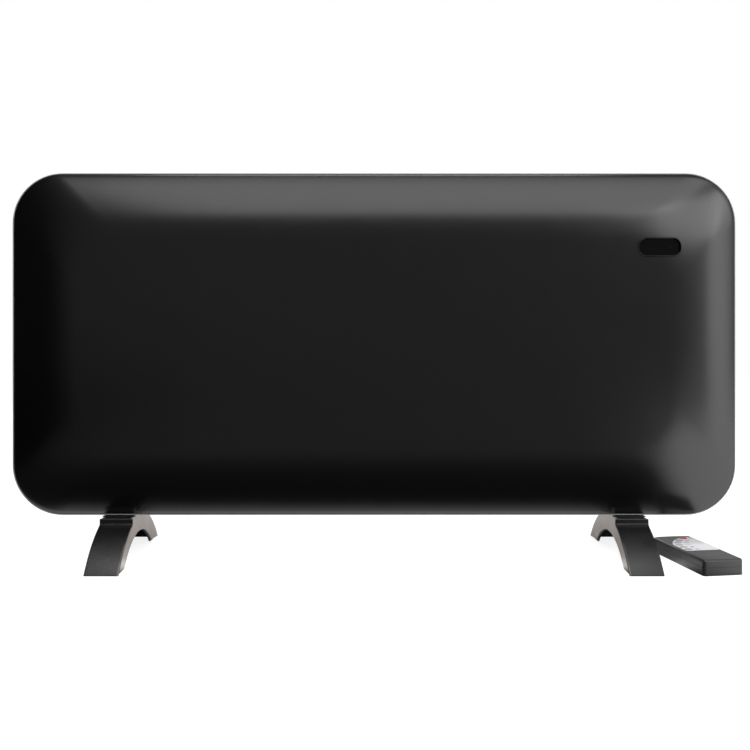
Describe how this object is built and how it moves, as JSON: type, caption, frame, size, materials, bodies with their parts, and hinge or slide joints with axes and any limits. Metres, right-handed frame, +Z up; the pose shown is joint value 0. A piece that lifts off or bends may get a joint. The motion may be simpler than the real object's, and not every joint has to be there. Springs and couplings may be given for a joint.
{
  "type": "panel heater",
  "caption": "Free-standing panel heater with a domed dark glass front on two arched feet, a display window, a steel case with warm air outlets, and a hand remote.",
  "frame": {"origin": "on the floor, midway between the two feet and midway between their toes", "axes": "+X to the viewer's right along the panel, +Y to the back, +Z up; the glass faces -Y"},
  "size_m": [0.9, 0.24, 0.481],
  "materials": {
    "black_glass": "back-painted toughened glass, satin",
    "smoked_window": "smoked polycarbonate, polished",
    "polished_edge": "thin polished bead",
    "steel_black": "fine powder coat",
    "steel_zinc": "zinc plated",
    "aluminised_sheet": "bright sheet",
    "cast_aluminium": "extruded",
    "ceramic_white": "unglazed ceramic",
    "moulding_black": "satin moulding",
    "cheek_silver": "warm silver lacquer",
    "rubber_black": "soft rubber",
    "board_green": "solder mask",
    "component_black": "moulded",
    "component_blue": "moulded",
    "terminal_ivory": "nylon",
    "ribbon_grey": "flat cable",
    "digits_dark": "unlit segments",
    "remote_black": "fine spark texture",
    "label_grey": "printed film",
    "key_red": "silicone",
    "key_grey": "silicone",
    "keypad_grey": "silicone sheet",
    "cell_metal": "foil sleeve",
    "emitter_clear": "tinted epoxy"
  },
  "bodies": {
    "heater": {"front_glass": "black_glass", "edge_trim": "polished_edge", "front_frame": "steel_black", "rear_casing": "steel_black", "outlet_grille": "moulding_black", "foot_left": "moulding_black", "foot_right": "moulding_black", "foot_cheeks_left": "cheek_silver", "foot_cheeks_right": "cheek_silver", "foot_pads": "rubber_black", "foot_screws": "steel_zinc", "foot_nuts": "steel_zinc", "case_screws": "steel_black", "bracket_nuts": "steel_zinc", "display_bezel": "smoked_window", "display_window": "smoked_window", "display_board": "board_green", "display_digits": "digits_dark", "ir_receiver": "component_black", "heat_shield": "aluminised_sheet", "heating_element": "cast_aluminium", "element_bush_left": "ceramic_white", "element_bush_right": "ceramic_white", "element_tabs": "steel_zinc", "thermal_cutout": "steel_zinc", "control_board": "board_green", "board_pillars": "terminal_ivory", "heat_relays": "component_blue", "board_transformer": "component_black", "terminal_block": "terminal_ivory", "ribbon_cable": "ribbon_grey", "mains_switch": "moulding_black", "cable_gland": "moulding_black", "tip_bracket": "steel_zinc", "room_sensor": "component_black"},
    "switch_rocker": {"switch_rocker": "moulding_black"},
    "tip_pendulum": {"tip_pendulum": "steel_zinc"},
    "remote": {"remote_base": "remote_black", "remote_cover": "remote_black", "remote_label": "label_grey", "remote_board": "board_green", "keypad": "keypad_grey", "ir_emitter": "emitter_clear", "remote_cells": "cell_metal"},
    "battery_door": {"battery_door": "remote_black"},
    "power_button": {"power_button": "key_red"},
    "timer_button": {"timer_button": "key_grey"},
    "mode_button": {"mode_button": "key_grey"},
    "clock_button": {"clock_button": "key_grey"},
    "warmer_button": {"warmer_button": "key_grey"},
    "cooler_button": {"cooler_button": "key_grey"}
  },
  "joints": [
    {"name": "remote_pick_up", "type": "slide", "parent": "heater", "child": "remote", "axis": [0, -0.9397, 0.342], "range_m": [0, 0.3]},
    {"name": "battery_door_slide", "type": "slide", "parent": "remote", "child": "battery_door", "axis": [0.1736, -0.9848, 0], "range_m": [0, 0.057]},
    {"name": "switch_rocker_tilt", "type": "hinge", "parent": "heater", "child": "switch_rocker", "pos_m": [0.434, 0, 0.172], "axis": [0, 1, 0], "range_deg": [0, 18]},
    {"name": "tip_pendulum_swing", "type": "hinge", "parent": "heater", "child": "tip_pendulum", "pos_m": [-0.375, 0.003, 0.118], "axis": [1, 0, 0], "range_deg": [-25, 25]},
    {"name": "power_button_press", "type": "slide", "parent": "remote", "child": "power_button", "axis": [0, 0, -1], "range_m": [0, 0.0008], "stiffness_N_per_m": 400},
    {"name": "timer_button_press", "type": "slide", "parent": "remote", "child": "timer_button", "axis": [0, 0, -1], "range_m": [0, 0.0008], "stiffness_N_per_m": 400},
    {"name": "mode_button_press", "type": "slide", "parent": "remote", "child": "mode_button", "axis": [0, 0, -1], "range_m": [0, 0.0008], "stiffness_N_per_m": 400},
    {"name": "clock_button_press", "type": "slide", "parent": "remote", "child": "clock_button", "axis": [0, 0, -1], "range_m": [0, 0.0008], "stiffness_N_per_m": 400},
    {"name": "warmer_button_press", "type": "slide", "parent": "remote", "child": "warmer_button", "axis": [0, 0, -1], "range_m": [0, 0.0008], "stiffness_N_per_m": 400},
    {"name": "cooler_button_press", "type": "slide", "parent": "remote", "child": "cooler_button", "axis": [0, 0, -1], "range_m": [0, 0.0008], "stiffness_N_per_m": 400}
  ]
}
